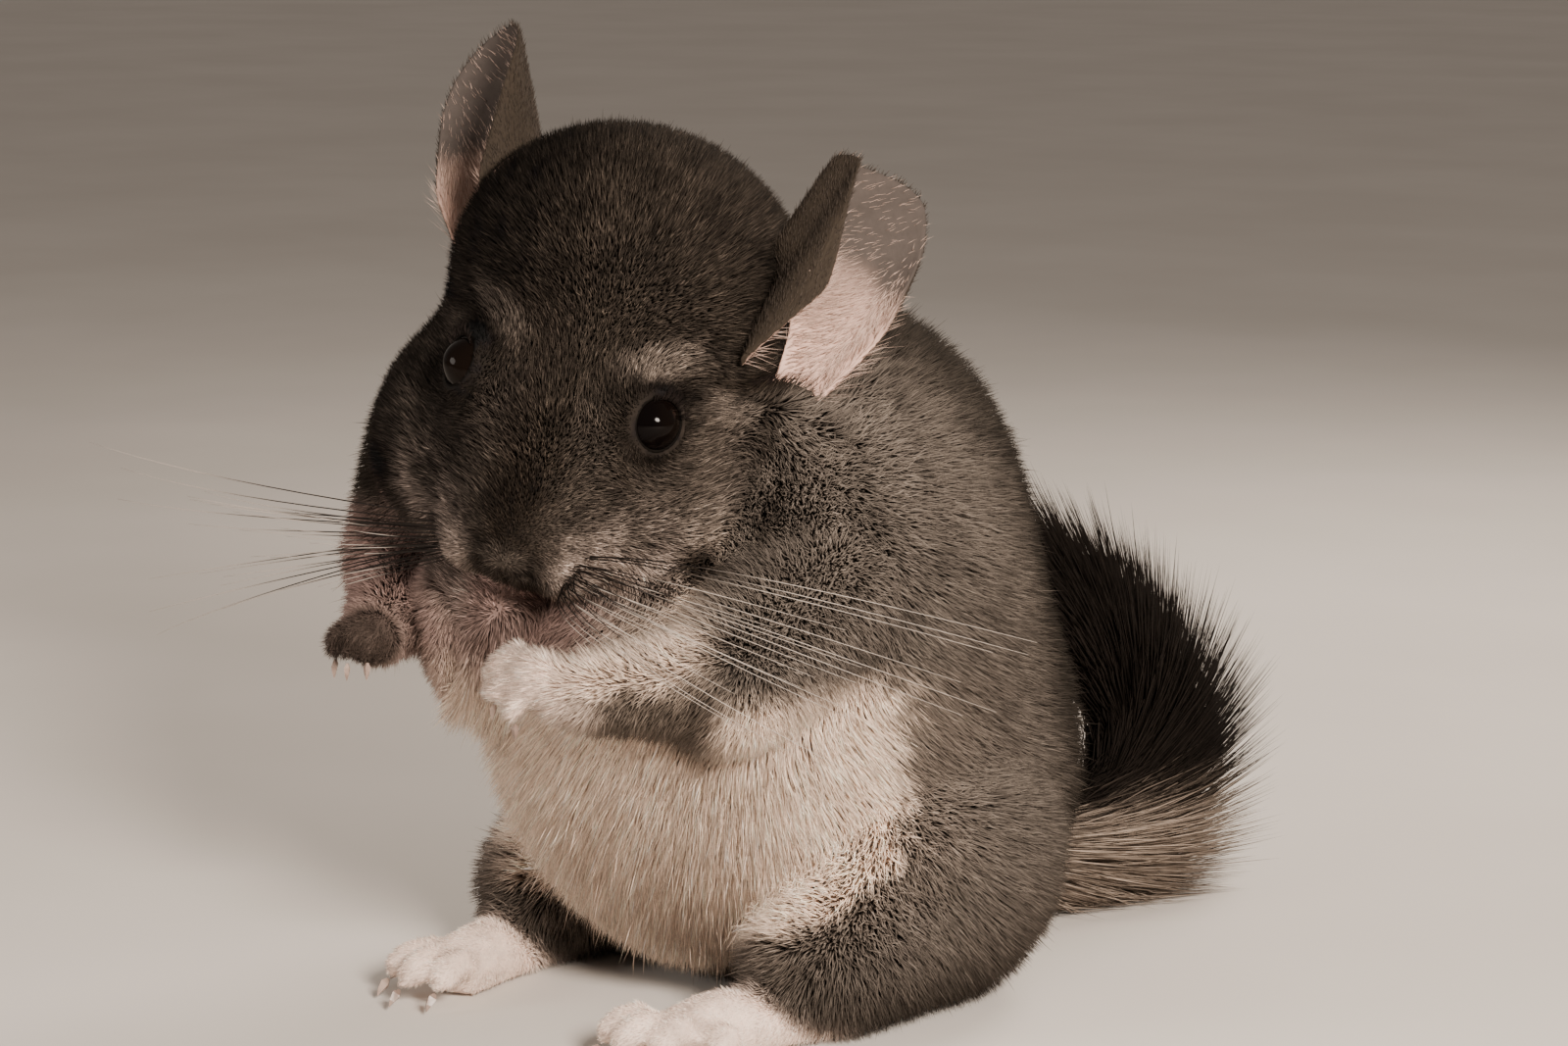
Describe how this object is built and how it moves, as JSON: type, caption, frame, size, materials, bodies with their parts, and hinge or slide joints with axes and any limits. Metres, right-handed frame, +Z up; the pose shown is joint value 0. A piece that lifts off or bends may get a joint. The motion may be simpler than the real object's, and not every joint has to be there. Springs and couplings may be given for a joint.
{
  "type": "sitting chinchilla model",
  "caption": "Life-size still chinchilla sitting upright on its hind feet, one forepaw held up to its mouth, long whiskers, bushy tail curled up behind.",
  "frame": {"origin": "bottom centre of the animal's bounding box, on the plane that its hind feet, rump and tail rest on", "axes": "+X towards the animal's left side, -Y the way its body faces, +Z up from the floor"},
  "size_m": [0.2094, 0.223, 0.185],
  "materials": {
    "coat_grey": "dense soft fur",
    "coat_pale": "short pale fur",
    "ear_skin": "thin skin with a fine nap",
    "nose_skin": "matt skin",
    "eye": "wet gloss",
    "whisker": "smooth hair",
    "claw": "smooth horn"
  },
  "bodies": {
    "root": {"head": "coat_grey", "nose": "nose_skin", "left_eye": "eye", "right_eye": "eye", "neck": "coat_grey", "torso": "coat_grey", "left_ear": "ear_skin", "right_ear": "ear_skin", "left_upper_arm": "coat_grey", "left_forearm": "coat_grey", "left_forepaw": "coat_pale", "left_forepaw_claw_1": "claw", "left_forepaw_claw_2": "claw", "left_forepaw_claw_3": "claw", "left_forepaw_claw_4": "claw", "right_upper_arm": "coat_grey", "right_forearm": "coat_grey", "right_forepaw": "coat_pale", "right_forepaw_claw_1": "claw", "right_forepaw_claw_2": "claw", "right_forepaw_claw_3": "claw", "right_forepaw_claw_4": "claw", "left_whiskers": "whisker", "right_whiskers": "whisker", "left_thigh": "coat_grey", "left_hind_foot": "coat_pale", "left_hind_foot_claw_1": "claw", "left_hind_foot_claw_2": "claw", "left_hind_foot_claw_3": "claw", "left_hind_foot_claw_4": "claw", "right_thigh": "coat_grey", "right_hind_foot": "coat_pale", "right_hind_foot_claw_1": "claw", "right_hind_foot_claw_2": "claw", "right_hind_foot_claw_3": "claw", "right_hind_foot_claw_4": "claw", "tail_base": "coat_grey", "tail_middle": "coat_grey", "tail_tip": "coat_grey"}
  },
  "joints": []
}
